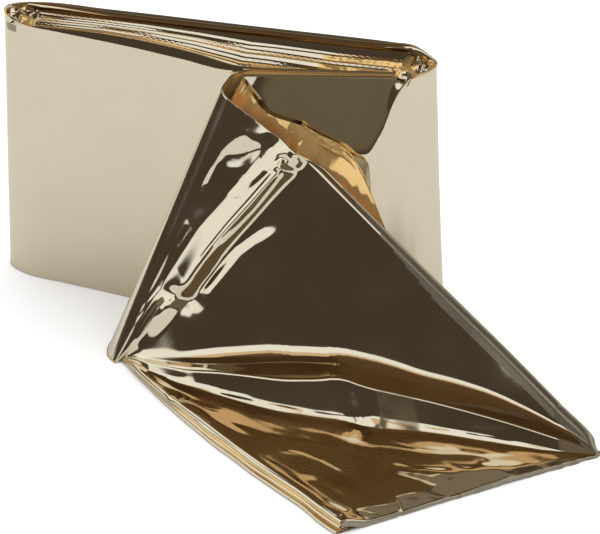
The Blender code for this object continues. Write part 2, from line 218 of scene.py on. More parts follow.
def valley_profile(place, depth, lift):
    """Setback and height of the sheet at a place along the valley and a depth across it, with a lift."""
    full = valley_fullness(place)
    lift = np.asarray(lift) + 0 * full
    sag = LYING_SINK * np.clip(full * 2, 0, 1) * (lift > 0)
    sag = sag * (1 - SINK_FADE * smooth((place - SINK_FADE_FROM) / SINK_FADE_OVER))
    corners = section_corners(place, full, sag)
    level = 0 * corners[0] + (1.0, 0.0)
    ways, lengths = section_stretches(corners)

    # the distance of the place beyond the foot, along the section before it is lifted
    run = lengths[0] + lengths[1] + lengths[2]
    at_foot = corners[0][..., 0] / LYING_BACK
    at_back = 1 - lengths[3] / np.hypot(UPRIGHT_BACK, UPRIGHT[2])
    on_lying = (depth - at_foot) * LYING_BACK
    in_valley = (depth - at_foot) / np.maximum(at_back - at_foot, TINY) * run
    on_slope = run + (depth - at_back) / np.maximum(1 - at_back, TINY) * lengths[3]
    path = np.where(depth < at_foot, on_lying, np.where(depth > at_back, on_slope, in_valley))

    # the same place on the lifted section, and the distances at which its corners lie
    moved = lifted_corners(corners, [level, *ways], lengths[0], lift)
    ways, spans = section_stretches(moved)
    ways = [level, *ways]
    travelled = np.minimum(settled(np.minimum(path, 0), (corners[0] - moved[0])[..., 0]), 0)
    point = moved[0] + level * travelled[..., None]
    start, mark, marks = 0 * run, 0 * run, []
    for k in range(3):
        marks.append(mark)
        share = np.clip((path - start) / np.maximum(lengths[k], TINY), 0, 1)
        point += (moved[k + 1] - moved[k]) * share[..., None]
        travelled += spans[k] * share
        start, mark = start + lengths[k], mark + spans[k]
    marks.append(mark)
    climb = settled(np.maximum(path - run, 0), spans[3] - lengths[3])
    point += ways[4] * climb[..., None]
    travelled += climb

    # round the corners over, each bend taking up no more than its share of the stretches beside it
    rooms = [BEND_SHARE * np.minimum(a, b) for a, b in zip((spans[0], *spans[:2]), spans[:3])]
    rooms.append(BACK_SHARE * spans[2])
    bends = (FOOT_BEND, KNEE_BEND, *(table_column(BENDS, k, place) for k in (1, 2)))
    for k, (mark, room, bend) in enumerate(zip(marks, rooms, bends)):
        half = np.maximum(np.minimum(bend * np.clip(full, 0.05, 1.0), room), TINY)
        reach = np.maximum(half - np.abs(travelled - mark), 0)
        point += (ways[k + 1] - ways[k]) * (reach**2 / (4 * half))[..., None]
    rising = sag * smooth(-travelled / SINK_REACH)
    return point + rising[..., None] * (0.0, 1.0)


def diagonal_place(along, across):
    """Places along the valley and depths across it, from places along and across the strip."""
    return (along - across + 1) / 2, along + across - 1


def strip_points(along, across, lift=0.0):
    """The strip's middle surface, or one lifted off it. Along runs from 0 at the free end to 1 at the crease,
    across from 0 at the lower edge to 1 at the upper one."""
    place, depth = diagonal_place(along, across)
    profile = valley_profile(place, depth, lift)
    slide = np.where(depth > 0, UPRIGHT @ VALLEY_RUN, LYING @ VALLEY_RUN)
    fan = EDGE_BOW * 4 * along * (1 - along) + CORNER_SPREAD * bump(along, 0.0, CORNER_REACH)
    fan = fan * np.clip(1 - across, 0, 1) ** 3
    return (
        FREE_HIGH
        + DIAGONAL * place[..., None]
        + VALLEY_RUN * (slide * depth)[..., None]
        + VALLEY_BACK * profile[..., :1]
        + UP * profile[..., 1:]
        + LOWER_EDGE_OUT * fan[..., None]
    )


# ---- grids of points
def grid_normals(grid):
    """Unit normals of a grid, on the side that faces the viewer of the free strip."""
    along, across = np.gradient(grid, axis=(0, 1))
    return unit(np.cross(across, along))


def raised(grid, height):
    """A grid moved out by heights along its normals."""
    return grid + grid_normals(grid) * np.asarray(height)[..., None]


def spline_rows(rows, counts):
    """Rows of points joined by smooth curves, with the given number of steps between each pair."""
    rows = np.array(rows)
    chords = np.linalg.norm(np.diff(rows, axis=0), axis=-1).mean(axis=1)
    slopes = np.gradient(rows, np.cumsum([0.0, *chords]), axis=0)
    made = []
    for i, count in enumerate(counts):
        t = (np.arange(count) / count)[:, None, None]
        h = chords[i]
        made.append(
            rows[i] * (1 + 2 * t) * (1 - t) ** 2
            + slopes[i] * h * t * (1 - t) ** 2
            + rows[i + 1] * t * t * (3 - 2 * t)
            + slopes[i + 1] * h * t * t * (t - 1)
        )
    made.append(rows[-1:])
    return np.concatenate(made)


# ---- creases and crumples
RELIEF_SIZE = 64
RELIEF_TABLE = np.random.default_rng(11).uniform(-1, 1, (RELIEF_SIZE, RELIEF_SIZE))


def turned(place, turn):
    """Distances along and across a direction in a plane."""
    c, s = math.cos(turn), math.sin(turn)
    return place[..., 0] * c + place[..., 1] * s, place[..., 1] * c - place[..., 0] * s


def facets(place, size, turn, stretch, shift):
    """Height from -1 to 1 over a plane, in flat triangles about size across, longer by stretch along turn."""
    u, v = turned(place, turn)
    u, v = u / (size * stretch) + shift, v / size + shift * 1.7
    u = u + 0.22 * np.sin(v * 2.1 + shift) + 0.1 * np.sin(v * 5.3 + 1.3 * shift)
    v = v + 0.2 * np.sin(u * 1.9 + 2 * shift) + 0.1 * np.sin(u * 4.7)
    i, j = np.floor(u).astype(int), np.floor(v).astype(int)
    fu, fv = u - i, v - j

    def corner(di, dj):
        return RELIEF_TABLE[(i + di) % RELIEF_SIZE, (j + dj) % RELIEF_SIZE]

    near, far, right, left = corner(0, 0), corner(1, 1), corner(1, 0), corner(0, 1)
    lower = near + (right - near) * fu + (left - near) * fv
    upper = far + (left - far) * (1 - fu) + (right - far) * (1 - fv)
    return np.where(fu + fv < 1, lower, upper)


def waves(place, size, turn, stretch, shift):
    """Smooth rolling height from about -1 to 1, longer by stretch along turn."""
    u, v = turned(place, turn)
    u, v = u / (size * stretch), v / size
    total = np.sin(2.3 * v + 1.1 * np.sin(1.3 * u + shift) + shift)
    total += 0.7 * np.sin(3.7 * v - 1.9 * u + 2.1 * shift + 0.8 * np.sin(2.2 * v))
    total += 0.6 * np.sin(2.9 * u + 1.7 * v + 3.3 * shift)
    return total / 2.3


def sway(places, size, shift):
    """Waves along one direction only."""
    return waves(points_of(places, 0.0), size, 0.0, 1.0, shift)


def along_line(place, line):
    """Signed distance from a bent line (positive on its left) and share of its length, for points on a plane.
    Its first and last stretches go on beyond its ends."""
    line = np.array(line, float)
    steps = np.diff(line, axis=0)
    lengths = np.linalg.norm(steps, axis=1)
    starts = np.cumsum([0.0, *lengths])
    best = np.full(place.shape[:-1], FAR)
    signed, share = np.zeros_like(best), np.zeros_like(best)
    for k, (step, length) in enumerate(zip(steps, lengths)):
        way, off = step / length, place - line[k]
        t = np.clip(off @ way, -FAR if k == 0 else 0.0, FAR if k == len(steps) - 1 else length)
        distance = np.linalg.norm(off - t[..., None] * way, axis=-1)
        closer = distance < best
        side = np.sign(off[..., 1] * way[0] - off[..., 0] * way[1])
        best = np.where(closer, distance, best)
        signed = np.where(closer, side * distance, signed)
        share = np.where(closer, (starts[k] + t) / starts[-1], share)
    return signed, share


def fade(share, start, end, over):
    """1 along a line from start to end, fading in and out over a share of its length."""
    return smooth((share - start) / over) * smooth((end - share) / over)


def within(place, middle, reach):
    """1 at a middle point, falling to 0.2 at the given reaches along the two directions."""
    off = np.subtract(place, middle) / reach
    return np.exp(-1.6 * (off**2).sum(axis=-1))


def ridges(place, lines, over=0.15):
    """Height of a table of creases: bent lines, each with the height and width of its ridge."""
    total = 0.0
    for line, height, width in lines:
        distance, share = along_line(place, line)
        total = total + height * np.exp(-((distance / width) ** 2)) * fade(share, -0.02, 1.02, over)
    return total


# ---- meshes
def grid_quads(index):
    """Faces between the points of a grid of numbers."""
    return np.stack((index[:-1, :-1], index[:-1, 1:], index[1:, 1:], index[1:, :-1]), axis=-1).reshape(-1, 4)


def grid_rim(index):
    """The numbers round the edge of a grid, in order."""
    return np.concatenate((index[0, :-1], index[:-1, -1], index[-1, :0:-1], index[:0:-1, 0]))


class Piece:
    """One mesh made of closed shells. Each face knows its material."""

    def __init__(self, name, materials):
        self.name, self.materials = name, materials
        self.points, self.faces, self.kinds = [], [], []
        self.count = 0

    def add(self, outer, inner, parts):
        """Points of two grids and the faces on them, as parts of faces and their kinds."""
        self.points += [outer.reshape(-1, 3), inner.reshape(-1, 3)]
        for faces, kind in parts:
            self.faces += (faces + self.count).tolist()
            self.kinds.append(np.broadcast_to(kind, len(faces)))
        self.count += outer[..., 0].size + inner[..., 0].size

    def add_shell(self, outer, inner, outer_kind, inner_kind=GOLD):
        """A closed shell between two grids of the same size; the outer one faces its normals."""
        size = outer[..., 0].size
        index = np.arange(size).reshape(outer.shape[:2])
        quads, rim = grid_quads(index), grid_rim(index)
        after = np.roll(rim, -1)
        # the sides take the edge film, painted darker as shade
        sides = np.stack((rim, rim + size, after + size, after), axis=-1)
        self.add(outer, inner, ((quads, outer_kind), (quads[:, ::-1] + size, inner_kind), (sides, SHADED_EDGE)))

    def add_lined(self, outer, outer_kind):
        """A closed sheet lined with gold, whose hidden side has every second point of the seen one. Its rows
        and columns are odd in number."""
        inner = raised(outer, -FILM)[::2, ::2]
        index = np.arange(outer[..., 0].size).reshape(outer.shape[:2])
        under = np.arange(inner[..., 0].size).reshape(inner.shape[:2]) + index.size
        rim, low = grid_rim(index), grid_rim(under)
        # the sides take the edge film, painted darker as shade
        sides = np.stack((rim[::2], low, np.roll(low, -1), np.roll(rim, -2)[::2], rim[1::2]), axis=-1)
        hidden = grid_quads(under)[:, (0, 3, 2, 1)]
        self.add(outer, inner, ((grid_quads(index), outer_kind), (hidden, GOLD), (sides, SHADED_EDGE)))

    def build(self, sharp=50):
        """The Blender object, moved from the ribbon's own frame to the model's; sharp is in degrees."""
        mesh = bpy.data.meshes.new(self.name)
        shift = np.array(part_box(NODE)[0]) / MM - RIBBON_LOW
        mesh.from_pydata(((np.concatenate(self.points) + shift) * MM).tolist(), [], self.faces)
        mesh.polygons.foreach_set("material_index", np.concatenate(self.kinds).astype(np.int32))
        mesh.shade_smooth()
        mesh.set_sharp_from_angle(angle=math.radians(sharp))
        for material in self.materials:
            mesh.materials.append(material)
        piece = bpy.data.objects.new(self.name, mesh)
        bpy.context.scene.collection.objects.link(piece)
        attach(piece, "root")
        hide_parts(NODE)
        return piece


# ---- materials
FILMS = (
    # as SILVER, GOLD and the edge film: name, two tones, range of roughness, height of crinkles in metres,
    # metallic
    ("film_champagne", ((0.82, 0.73, 0.56), (0.76, 0.68, 0.52)), (0.045, 0.11), 0.0000025, 1.0),
    ("film_gold", ((0.88, 0.60, 0.25), (0.82, 0.53, 0.20)), (0.05, 0.14), 0.000008, 0.72),
    # the edge film is the champagne film painted about half as bright: painted shade on rolled and cut edges;
    # its rougher finish is real
    ("film_edge_painted_shade", ((0.40, 0.355, 0.27), (0.31, 0.27, 0.195)), (0.26, 0.40), 0.000012, 0.97),
)
PATCHES = {"Scale": 60.0, "Detail": 4.0}
PATCH_RANGE = (0.35, 0.7)  # of the patches' noise, over which the roughness changes
CRINKLES = {"Scale": 420.0, "Detail": 3.0, "Roughness": 0.6}


def add_node(tree, kind, inputs=None, **settings):
    """A shader node with its settings made and its inputs linked to sockets or set to constants."""
    node = tree.nodes.new("ShaderNode" + kind)
    for name, value in settings.items():
        setattr(node, name, value)
    for name, value in (inputs or {}).items():
        if isinstance(value, bpy.types.NodeSocket):
            tree.links.new(value, node.inputs[name])
        else:
            node.inputs[name].default_value = value
    return node


def film_material(name, tones, roughness, crinkle, metallic):
    """Metallised film: a mirror, in patches of two tones and roughnesses, with fine crinkles."""
    material = bpy.data.materials.new(name)
    material.use_nodes = True
    tree = material.node_tree
    place = {"Vector": add_node(tree, "TexCoord").outputs["Object"]}
    patches, fine = (add_node(tree, "TexNoise", place | kind).outputs["Fac"] for kind in (PATCHES, CRINKLES))
    ranges = dict(zip(("From Min", "From Max", "To Min", "To Max"), (*PATCH_RANGE, *roughness)))
    rough = add_node(tree, "MapRange", {"Value": patches, **ranges})
    first, second = ((*tone, 1.0) for tone in tones)
    colour = add_node(tree, "Mix", {"Factor": patches, "A": first, "B": second}, data_type="RGBA")
    relief = add_node(tree, "Bump", {"Height": fine, "Strength": 1.0, "Distance": crinkle})
    shader = tree.nodes["Principled BSDF"]
    shader.inputs["Metallic"].default_value = metallic
    tree.links.new(rough.outputs["Result"], shader.inputs["Roughness"])
    tree.links.new(colour.outputs["Result"], shader.inputs["Base Color"])
    tree.links.new(relief.outputs["Normal"], shader.inputs["Normal"])
    return material


# ---- the open fold, turn and wrap, as in the model
POCKET = (
    # share of strip, setback, rise of the back ply's edge
    (0.70, 0.0, 0.0),
    (0.76, 11.0, 5.0),
    (0.80, 16.0, 8.0),
    (0.84, 17.6, 8.8),
    (0.89, 15.1, 7.5),
    (0.945, 12.0, 6.0),
    (1.0, 9.8, 4.9),
)
BEHIND = np.array((-0.28, 0.96, 0.0))
PARTING_FROM, PARTING_LEFT, PARTING_POWER = 0.5, 0.2, 1.2  # share across from which the two plies part
FOLD = (
    # from the crease round to the loose turn: top and foot of the face ply, top and foot of the back ply
    ((-59.1, 108.0, 77.3), (-101.4, 86.6), (-61.1, 114.8, 80.1), (-100.6, 89.2)),
    ((-72.2, 111.4, 84.2), (-103.0, 87.3), (-68.3, 119.5, 86.0), (-101.8, 90.1)),
    ((-74.4, 113.4, 85.4), (-105.4, 90.2), (-69.2, 120.2, 86.6), (-103.1, 92.0)),
    ((-74.3, 118.0, 86.9), (-107.4, 98.5), (-69.7, 120.7, 86.9), (-104.9, 98.7)),
    ((-73.2, 121.5, 87.7), (-106.7, 107.4), (-69.6, 121.0, 87.2), (-104.2, 106.4)),
    ((-70.9, 123.2, 88.0), (-103.5, 113.6), (-68.9, 121.2, 87.6), (-101.8, 111.4)),
)
TURN_START_TOP, TURN_START_FOOT = (-69.7, 120.8), (-97.0, 114.0)
TURN_END = (-22.0, 132.6)
TURN_GAP = (3.2, 1.2)  # between the loose turn's two plies at its two ends
TURN_RISE = 1.1  # the rear ply's upper edge above the front one's
LOOSE_TOP = 88.0
WRAP = (
    # x, y, drop of the upper edge, cap: how far the ply's top edge folds inwards
    (-18.0, 134.6, 1.8, 0.6),
    (-15.2, 139.0, 1.6, 0.6),
    (-13.7, 145.8, 1.2, 0.6),
    (-18.6, 151.4, 0.4, 0.8),
    (-24.4, 155.0, 0.0, 1.4),
    (-30.0, 155.2, 0.0, 2.4),
    (-75.0, 155.0, 0.0, 3.2),
    (-125.0, 154.9, 0.0, 3.0),
    (-147.0, 154.4, 0.0, 1.6),
    (-153.2, 153.0, 0.2, 0.8),
    (-157.4, 149.4, 0.4, 0.8),
    (-156.4, 145.2, 1.0, 0.8),
    (-153.0, 142.0, 1.4, 1.0),
    (-148.6, 139.6, 1.8, 2.0),
    (-136.0, 137.1, 2.0, 5.4),
    (-124.0, 134.9, 2.0, 8.2),
    (-110.0, 132.2, 2.0, 9.3),
    (-92.0, 127.8, 2.0, 9.2),
    (-74.0, 123.7, 2.0, 7.0),
    (-66.0, 126.4, 2.2, 5.2),
    (-56.0, 129.2, 2.6, 3.0),
    (-45.0, 131.8, 3.0, 1.0),
    (-36.0, 133.8, 3.2, 0.7),
    (-28.0, 135.4, 3.4, 0.6),
)
WRAP_REAR, WRAP_FRONT = slice(5, 9), slice(13, None)  # its rows along the pack's rear and front
NOSE_X, NOSE_REACH, NOSE_SPREAD = -14.0, 9.0, 3.0  # where the pack's end spreads towards its foot
CAP_FROM = 0.84  # share of the samples across that climb the panel; the rest are its folded-in top
CAP_ROUND, CAP_DIP = 0.14, 0.9  # drop of the folded-in top just past the edge and at its end


def back_strip_points(along, across):
    """The underside of the strip, which leaves it near the crease to make the pocket's back."""
    start = np.minimum(PARTING_FROM, 1 - along + PARTING_LEFT)
    parting = np.clip(across - start, 0, 1) / (1 - start)
    setback, rise = (smooth_column(POCKET, column, along) for column in (1, 2))
    opening = BEHIND * setback[..., None] + UP * rise[..., None]
    return strip_points(along, across) + opening * (parting**PARTING_POWER)[..., None]


def straight_row(top, foot, shares):
    """Points from a foot on the floor to a top, at shares of the way up."""
    return mix(np.array((*foot, 0.0)), np.array(top), shares[:, None])


def lofted_rows(column, shares):
    """Rows of the open fold's face ply (column 0) or back ply (column 2)."""
    return [straight_row(row[column], row[column + 1], shares) for row in FOLD]


def turn_rear_row(share, shares):
    """The loose turn's rear ply, a little behind its front."""
    run = unit(np.subtract(TURN_END, TURN_START_TOP))
    gap = np.array((-run[1], run[0], 0.0)) * mix(*TURN_GAP, share)
    return turn_row(share, shares) + gap + UP * TURN_RISE * shares[:, None]


def turn_row(share, shares):
    """One row of the loose turn's front."""
    top, foot = mix(TURN_START_TOP, TURN_END, share), mix(TURN_START_FOOT, TURN_END, share)
    return straight_row((*top, LOOSE_TOP), foot, shares)


def wrap_rows(shares):
    """Rows of the pack's outer ply: up the panel, then inwards over its top edge."""
    rows = np.array(WRAP)
    runs = unit(np.gradient(rows[:, :2], axis=0))
    inwards = points_of(-runs[:, 1], runs[:, 0], 0.0)
    climb = np.clip(shares / CAP_FROM, 0, 1)
    over = np.clip((shares - CAP_FROM) / (1 - CAP_FROM), 0, 1)
    dip = CAP_ROUND * smooth(over * 6) + CAP_DIP * over**4
    made = []
    for (x, y, drop, cap), inward in zip(rows, inwards):
        splay = NOSE_SPREAD * bump(x, NOSE_X, NOSE_REACH)
        points = points_of(x + splay * (1 - climb), y, climb * (RIBBON_WIDTH - drop) - dip)
        made.append(points + inward * (over * cap)[:, None])
    return made


# ---- the face ply
STRIP_ROWS, FACE_COLUMNS = 225, 215
FOLD_COUNTS = (34, 16, 10, 8, 8, 6, 6, 8, 8, 9)
TRIANGLE_ROWS = STRIP_ROWS + FOLD_COUNTS[0] + 8  # how far the triangle's relief goes round the crease
REAR_SHARES = (0.06, 0.3, 0.6, 0.96)  # places of the rows inside the loose turn
RIM_ANGLES = np.radians((18, 36, 54, 72, 88))
SATIN_SHADE_ROWS, SATIN_SHADE_TAPER = 215, 95  # the rolled upper edge takes the rougher edge film, painted darker as shade, as far as this row, tapering
SATIN_SHADE_COLUMNS = len(RIM_ANGLES) + 4
STEP_DEPTH, STEP_REACH, STEP_CROWDING = 0.05, 0.075, 3.0  # columns crowd round the valley's steep step
FACE_FLOOR = 0.12  # least height of the face ply above the floor

# Creases are bent lines, in a table with the height and width of the ridge. On the lying part they are in x
# and y in mm; on the triangle they are in mm along the valley from the crease's foot and up the slope.
FLOOR_ROLLS = (
    (((-84, 72), (-60, 57), (-38, 49), (-20, 44)), 0.38, 4.2),
    (((-70, 58), (-50, 46), (-26, 32), (-8, 20)), 0.40, 3.6),
    (((-42, 57), (-24, 55), (-8, 50.5), (14, 51), (44, 60)), 0.38, 3.4),
    (((-34, 40), (-20, 34), (-6, 24)), 0.55, 3.0),
    (((-2, 38), (10, 37), (24, 40)), 0.50, 3.6),
    (((-22, 26), (-12, 18), (-3, 11)), 0.35, 2.4),
    (((10, 30), (26, 42), (44, 56)), 0.30, 3.4),
    (((-80, 68), (-68, 62), (-58, 59)), -0.5, 1.6),
)
FREE_END_CREASE = (
    # across in mm from the lower edge, how far the bent-down border reaches in from the free end
    (0.0, 3.0),
    (6.0, 7.0),
    (10.0, 5.6),
    (14.5, 4.6),
    (17.5, 3.2),
    (18.3, 7.4),
    (24.0, 6.2),
    (31.0, 6.6),
    (38.0, 9.4),
    (45.0, 7.2),
    (54.0, 2.6),
    (57.0, 4.0),
    (66.0, 3.4),
    (84.0, 1.4),
    (90.0, 1.0),
)
BORDER_FALL, BORDER_TILT = 0.12, 0.22  # slope of the bent-down border, and height of its facets

# Crumpled places: middle and reach
KNOT = ((-11.0, 64.6), (5.2, 3.4))
LEFT_CORNER = ((-73.0, 62.5), (9.0, 3.4))
BEAD_DENT = ((17.5, 24.0), (6.5, 3.0))
RIGHT_CORNER = ((45.5, 72.0), (5.0, 4.0))
LEFT_GROOVE = ((-82, 67), (-70, 61.0), (-62, 60))

BEAD = ((49.4, 74.4), (40.0, 61.5), (26.9, 42.2), (20.4, 29.2), (11.0, 15.5), (1.5, 1.0))
BEAD_FLANK, BEAD_WIDTH = 0.40, 7.6  # rise of its broad flank per mm, and that flank's width
BEAD_DROP, BEAD_HOLLOW = 3.6, 1.1  # its steep side's reach, and how much deeper that goes midway
FLANK_CREASES = (
    (((44.5, 70.0), (31.0, 50.0), (22.0, 34.5)), -0.34, 0.42),
    (((48.0, 72.0), (38.0, 56.0), (27.5, 41.5)), -0.30, 0.5),
    (((12.0, 20.0), (7.0, 11.5), (2.0, 3.5)), -0.3, 0.5),
)
STREAK = ((46.0, 52.5), (34.8, 41.5), (27.0, 30.0), (21.5, 22.0))
CRINKLE = (
    (29.5, 79.6), (23.8, 69.8), (16.6, 58.4), (15.6, 51.2),
    (17.0, 46.4), (13.2, 39.4), (9.8, 25.4), (-0.9, 8.1),
)


def on_slope(points):
    """Places on the triangle's plane: along the valley from the crease's foot, and up the slope."""
    off = points - CREASE_LOW
    rising = unit(VALLEY_BACK * UPRIGHT_BACK + UP * UPRIGHT[2])
    return np.stack((off @ -VALLEY_RUN, off @ rising), axis=-1)


def lying_relief(points, along, across):
    """Height of the rolls, creases and crumples on the lying part."""
    place = points[..., :2]
    far, near = along * STRIP_LENGTH, across * RIBBON_WIDTH
    height = ridges(place, FLOOR_ROLLS, over=0.3)
    height += 0.16 * waves(place, 9.0, math.radians(132), 2.6, 0.4)
    height += 0.05 * waves(place, 3.4, math.radians(150), 3.0, 2.2)

    # the border by the free end is bent down, and crumpled except near the far corner
    border = ramp(table_column(FREE_END_CREASE, 1, near) - far, 0.0, 0.10)
    tilt = np.clip(border / 2.5, 0, 1) * smooth((70 - near) / 50)
    height += -BORDER_FALL * border + BORDER_TILT * tilt * facets(place, 5.2, 0.5, 1.7, 3.1)

    # the left corner is crumpled, with a groove through it
    left = within(place, *LEFT_CORNER)
    groove = ramp(1.8 - np.abs(along_line(place, LEFT_GROOVE)[0]), 0, 0.2)
    return height + left * (0.8 * facets(place, 5.0, 2.5, 2.0, 6.2) - 0.30 * groove)


def bead_relief(distance, share):
    """Height of the bead: a broad flank on one side, a steep and hollowed one on the other."""
    grown = smooth(share * -1.4 + 1.42) * 0.55 + 0.45
    grown = grown * smooth((1.04 - share) / 0.3) * smooth((share + 0.10) / 0.10)
    rise = BEAD_FLANK * (ramp(distance, -BEAD_WIDTH, 0.35) - ramp(distance, -0.4, 0.25))
    hollow = BEAD_HOLLOW * smooth((share - 0.36) / 0.22) * smooth((0.76 - share) / 0.12)
    steep = ramp(distance, 0.2, 0.22) - ramp(distance, 0.2 + BEAD_DROP, 0.14)
    drop = (BEAD_FLANK * BEAD_WIDTH + hollow) / BEAD_DROP * steep
    back = hollow / 5.0 * (ramp(distance, 4.6, 0.6) - ramp(distance, 9.6, 1.0))
    return (rise - drop + back) * grown


def streak_relief(aside, share):
    """Height of the streak: a rise over a short slope, then a slow fall."""
    slope = ramp(aside, -1.6, 0.2) - ramp(aside, 1.4, 0.35)
    return 0.42 * slope * fade(share, -0.05, 1.05, 0.3) * np.exp(-np.maximum(aside - 2, 0) / 7)


def upright_relief(points):
    """Height of the bead, creases and crumples on the triangle."""
    place = on_slope(points)
    distance, share = along_line(place, BEAD)
    height = bead_relief(distance, share)
    height -= 1.5 * within(place, *BEAD_DENT) * smooth((distance + 9) / 4)
    height += ridges(place, FLANK_CREASES) + streak_relief(*along_line(place, STREAK))

    # the crinkle is a small ridge along the wedge beside the bead's broad flank, which falls away past it
    wedge = smooth((-distance - BEAD_WIDTH + 1.5) / 3)
    crinkle, run = along_line(place, CRINKLE)
    height += 0.15 * np.exp(-((crinkle / 0.60) ** 2)) * fade(run, -0.05, 0.95, 0.08)
    height -= 0.10 * ramp(-crinkle, 0.2, 0.3) * wedge

    # crumples: on the flank's upper part, the flat beyond the bead, the wedge and the right corner
    upper = smooth((place[..., 1] - 48) / 12) * smooth((crinkle + 0.5) / 3) * smooth((-distance - 2.0) / 3.5)
    height += 1.15 * upper * facets(place, 7.0, 0.95, 1.5, 1.3)
    flat = smooth(1 - wedge) * smooth((distance - 8) / 6)
    height += 0.07 * flat * waves(place, 11.0, 0.5, 1.8, 1.0)
    height += 0.035 * flat * facets(place, 8.0, 1.1, 2.4, 5.0)
    height += 0.16 * wedge * facets(place, 9.0, 1.0, 2.6, 8.8)
    return height + 1.5 * within(place, *RIGHT_CORNER) * facets(place, 3.0, 0.3, 1.3, 4.4)


def crowded_columns(along):
    """Places across the strip at one row of the grid: closer together round the valley's steep step."""
    fine = np.linspace(0, 1, 800)
    full = valley_fullness(along)
    off = (fine - (1 - along) + STEP_DEPTH * full) / (STEP_REACH * full + 0.006)
    crowding = np.cumsum(1 + STEP_CROWDING * np.exp(-(off**4)))
    return np.interp(np.linspace(crowding[0], crowding[-1], FACE_COLUMNS), crowding, fine)


def face_strip(along, across):
    """The face ply's part on the strip: thickened by the plies beneath, most along the puffed lower edge, and
    pinched at the crease's foot and the free end's far corner."""
    middle = np.clip(4 * along * (1 - along), 0, 1) ** 0.5
    foot, corner = bump(along, 1, 0.05) * bump(across, 0, 0.06), bump(along, 0, 0.05) * bump(across, 1, 0.06)
    puff = EDGE_PUFF * bump(across, 0.0, EDGE_PUFF_WIDTH) * (0.35 + 0.65 * middle)
    thick = (STRIP_TOP + puff) * (1 - 0.55 * np.maximum(foot, corner))
    return strip_points(along, across, thick + 1.0 * bump(along, 0.0, 0.10) * bump(across, 0.0, 0.10))


def face_grid():
    """The face ply's middle part, from the free end to inside the loose turn, with all its relief."""
    along = np.linspace(0, 1, STRIP_ROWS)
    columns = np.array([crowded_columns(row) for row in along])
    along, across = np.broadcast_to(along[:, None], columns.shape), columns[-1]
    strip = face_strip(along, columns)
    rear = [turn_rear_row(share, across) for share in REAR_SHARES]
    fold = spline_rows([strip[-1], *lofted_rows(0, across), *rear], FOLD_COUNTS)[1:]
    grid = np.concatenate((strip, fold))

    # the relief is laid out over the crease's columns in every row
    on_strip = np.arange(len(grid))[:, None] < STRIP_ROWS - 1
    across = np.broadcast_to(across, (len(grid), FACE_COLUMNS))
    along = np.concatenate((along, np.ones((len(fold), FACE_COLUMNS))))
    place, depth = diagonal_place(along, across)
    lying = smooth((foot_depth(place) - depth) / 0.05) * on_strip
    upright = np.where(on_strip, smooth((depth - 0.13) / 0.12), smooth(across / 0.1))
    upright[TRIANGLE_ROWS:] = 0.0
    valley = (1 - np.clip(lying + upright, 0, 1)) * on_strip
    flat = points_of(along * STRIP_LENGTH, across * RIBBON_WIDTH)
    height = lying * lying_relief(grid, along, across) + upright * upright_relief(grid)
    height += 0.03 * valley * waves(flat, 5.0, math.radians(34 + 90), 4.0, 2.0)
    knot = within(grid[..., :2], *KNOT) * on_strip
    return raised(grid, height + 1.2 * knot * facets(grid[..., :2], 4.4, 0.4, 1.3, 2.7))


def rounded_rim(grid, edge, inside, reach, sink):
    """Extra rows or columns that carry an edge of the sheet round and down. Edge and inside tell where in the
    grid its points and those just inside it are."""
    up, out = grid_normals(grid)[edge], unit(grid[edge] - grid[inside])
    out = unit(out - up * (out * up).sum(axis=-1, keepdims=True))
    reach, sink = (np.broadcast_to(v, len(up))[:, None] for v in (reach, sink))
    return [grid[edge] + out * reach * math.sin(t) - up * sink * (1 - math.cos(t)) for t in RIM_ANGLES]


def face_ply(materials):
    """The ply on top of the strip and round the open fold, with its rolled edges."""
    grid = face_grid()
    free = rounded_rim(grid, np.s_[0], np.s_[1], 0.9, 2.0)
    grid = np.concatenate((np.stack(free[::-1]), grid))
    share = np.linspace(0, 1, len(grid))
    closing = smooth(((STRIP_ROWS + len(RIM_ANGLES)) / len(grid) - share) / 0.05)
    upper = rounded_rim(grid, np.s_[:, -1], np.s_[:, -2], 0.25 + 1.9 * closing, 0.35 + 1.9 * closing)
    lower = rounded_rim(grid, np.s_[:, 0], np.s_[:, 1], 0.15 + 0.5 * closing, 0.2 + closing)
    grid = np.concatenate((np.stack(lower[::-1], axis=1), grid, np.stack(upper, axis=1)), axis=1)
    grid[..., 2] = np.maximum(grid[..., 2], FACE_FLOOR)

    kinds = np.full((grid.shape[0] - 1, grid.shape[1] - 1), SILVER)
    # the free end's rolled rim and a band along the upper edge take the edge film: real roughness, with
    # painted shade in its darker tones
    kinds[: len(RIM_ANGLES) - 1] = SHADED_EDGE
    row, column = np.indices(kinds.shape)
    satin_shade = SATIN_SHADE_COLUMNS * np.clip((SATIN_SHADE_ROWS - row) / SATIN_SHADE_TAPER, 0, 1)
    kinds[column >= kinds.shape[1] - np.round(satin_shade)] = SHADED_EDGE
    piece = Piece("face_ply", materials)
    piece.add_lined(grid, kinds.ravel())
    return piece.build()


# ---- the back ply
LIP = (
    # share of the strip, radius of the rolled edge
    (0.70, 0.1),
    (0.76, 0.7),
    (0.84, 1.0),
    (0.92, 0.9),
    (1.00, 0.6),
)
LIP_ROLLS = ((0.3, 0.0, 1.0), (-1.2, 1.7, 0.7))  # setback, drop and share of the radius of its two rolls


